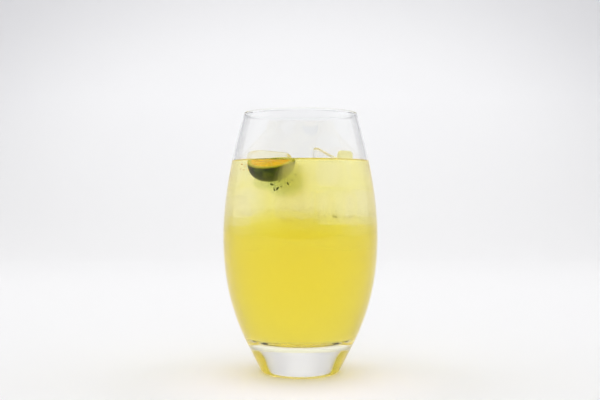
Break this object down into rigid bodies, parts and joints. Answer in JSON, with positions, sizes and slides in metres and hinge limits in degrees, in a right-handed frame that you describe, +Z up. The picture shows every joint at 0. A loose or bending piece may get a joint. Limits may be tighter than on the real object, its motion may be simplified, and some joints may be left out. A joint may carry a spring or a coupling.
{
  "type": "glass of calamansi juice",
  "caption": "Tall barrel-shaped clear tumbler of cloudy yellow citrus juice with ice and a floating half fruit.",
  "frame": {"origin": "middle of the foot, on the plane that the glass stands on", "axes": "+Z up along the axis of the glass, -Y towards the front of the drink, +X to its right"},
  "size_m": [0.0838, 0.0838, 0.14],
  "materials": {
    "clear_glass": "clear polished glass",
    "juice": null,
    "calamansi": null,
    "ice": "wet melting ice"
  },
  "bodies": {
    "root": {"glass": "clear_glass", "juice": "juice", "calamansi_half": "calamansi", "ice_front_right": "ice", "ice_back_right": "ice", "ice_back_left": "ice"}
  },
  "joints": []
}
